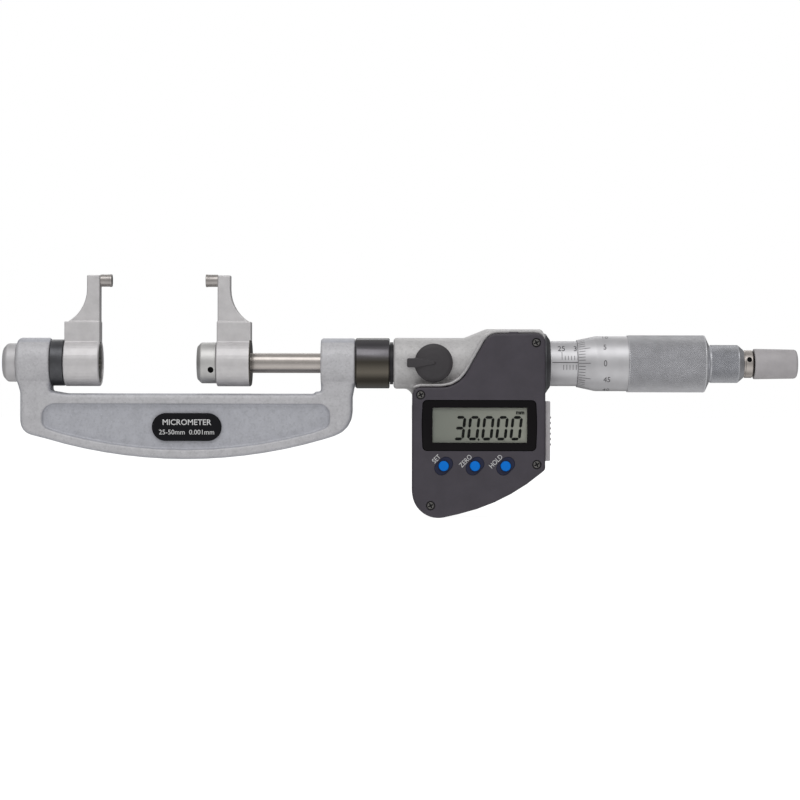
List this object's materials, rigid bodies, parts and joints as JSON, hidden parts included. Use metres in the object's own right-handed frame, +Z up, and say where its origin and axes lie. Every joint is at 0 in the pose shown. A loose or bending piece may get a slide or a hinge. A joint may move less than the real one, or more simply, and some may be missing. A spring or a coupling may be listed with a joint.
{
  "type": "outside micrometer",
  "caption": "Caliper-jaw outside micrometer with a sliding spindle, tall jaws, a digital display unit, a graduated thimble and a ratchet stop.",
  "frame": {"origin": "centre of the fixed jaw's measuring face", "axes": "+X along the spindle's travel from the fixed jaw towards the ratchet, +Z up the jaws, and the display faces -Y"},
  "size_m": [0.2539, 0.0249, 0.0773],
  "materials": {
    "casting": "pale grey hammertone paint on a casting",
    "jaw_paint": "fine pale grey satin finish",
    "satin_chrome": "satin chrome plate",
    "knurled_chrome": "satin chrome over fine diamond knurl",
    "cap_plate": "bead-blasted nickel plate",
    "ground_steel": "ground and polished",
    "dark_steel": "blued steel, turned",
    "black_oxide": "black oxide, satin",
    "carbide": "lapped carbide",
    "brass": "turned",
    "unit_plastic": "dark grey, fine texture",
    "pale_plastic": "pale grey, ribbed",
    "bezel_black": "gloss black",
    "label_black": "black enamel plate with a pale line",
    "button_blue": "blue, slightly glossy",
    "rubber": "matte",
    "lcd_grey": "reflective liquid crystal panel",
    "clear_lens": "clear acrylic",
    "board_green": "solder mask over laminate"
  },
  "bodies": {
    "frame": {"frame": "casting", "frame_label": "label_black", "anvil_cap": "cap_plate", "anvil_rod": "ground_steel", "anvil_collar": "black_oxide", "fixed_jaw": "jaw_paint", "fixed_tip": "carbide", "fixed_jaw_screw": "dark_steel", "ring_nut": "dark_steel", "head_neck": "black_oxide", "guide_bush": "brass", "spindle_key": "dark_steel", "clamp_collet": "ground_steel", "head_body": "casting", "end_ring": "black_oxide", "front_cover": "unit_plastic", "cover_gasket": "rubber", "rear_cover": "unit_plastic", "cover_screw_1": "black_oxide", "cover_screw_2": "black_oxide", "cover_screw_3": "black_oxide", "cover_screw_4": "black_oxide", "rear_screw_1": "black_oxide", "rear_screw_2": "black_oxide", "lcd_bezel": "bezel_black", "lcd_window": "clear_lens", "lcd_module": "lcd_grey", "circuit_board": "board_green", "data_connector": "bezel_black", "port_cover": "pale_plastic", "set_boot": "rubber", "zero_boot": "rubber", "hold_boot": "rubber", "battery": "ground_steel", "battery_contact": "brass", "encoder_stator": "board_green", "inner_sleeve": "ground_steel", "outer_sleeve": "satin_chrome", "taper_nut": "dark_steel"},
    "spindle": {"spindle": "ground_steel", "moving_jaw": "jaw_paint", "moving_tip": "carbide", "jaw_cap": "cap_plate", "thrust_ball": "ground_steel"},
    "thimble": {"thimble": "knurled_chrome", "micrometer_screw": "ground_steel", "coupling_nut": "dark_steel", "speeder": "knurled_chrome", "ratchet_nut": "ground_steel", "ratchet_wheel": "dark_steel", "ratchet_spring": "ground_steel", "ratchet_screw": "dark_steel"},
    "ratchet": {"ratchet_knob": "satin_chrome"},
    "rotor": {"encoder_rotor": "brass"},
    "clamp": {"clamp_lever": "black_oxide"},
    "set_button": {"set_button": "button_blue"},
    "zero_button": {"zero_button": "button_blue"},
    "hold_button": {"hold_button": "button_blue"},
    "battery_lid": {"battery_lid": "unit_plastic"}
  },
  "joints": [
    {"name": "spindle_slide", "type": "slide", "parent": "frame", "child": "spindle", "axis": [1, 0, 0], "range_m": [-0.005, 0.02]},
    {"name": "thimble_turn", "type": "hinge", "parent": "spindle", "child": "thimble", "pos_m": [0.165, 0, -0.0263], "axis": [1, 0, 0], "range_deg": [-3600, 14400]},
    {"name": "rotor_turn", "type": "hinge", "parent": "frame", "child": "rotor", "pos_m": [0.1345, 0, -0.0263], "axis": [1, 0, 0], "range_deg": [-3600, 14400]},
    {"name": "ratchet_turn", "type": "hinge", "parent": "thimble", "child": "ratchet", "pos_m": [0.212, 0, -0.0263], "axis": [1, 0, 0], "continuous": true},
    {"name": "clamp_turn", "type": "hinge", "parent": "frame", "child": "clamp", "pos_m": [0.1028, 0, -0.0263], "axis": [0, 1, 0], "range_deg": [0, 60]},
    {"name": "battery_lid_turn", "type": "hinge", "parent": "frame", "child": "battery_lid", "pos_m": [0.111, 0.0094, -0.0533], "axis": [0, 1, 0], "range_deg": [0, 60]},
    {"name": "set_button_press", "type": "slide", "parent": "frame", "child": "set_button", "axis": [0, 1, 0], "range_m": [0, 0.0007], "stiffness_N_per_m": 600},
    {"name": "zero_button_press", "type": "slide", "parent": "frame", "child": "zero_button", "axis": [0, 1, 0], "range_m": [0, 0.0007], "stiffness_N_per_m": 600},
    {"name": "hold_button_press", "type": "slide", "parent": "frame", "child": "hold_button", "axis": [0, 1, 0], "range_m": [0, 0.0007], "stiffness_N_per_m": 600}
  ],
  "couplings": [
    {"joint": "thimble_turn", "follows": "spindle_slide", "rad_per_m": 12566},
    {"joint": "rotor_turn", "follows": "spindle_slide", "rad_per_m": 12566}
  ]
}
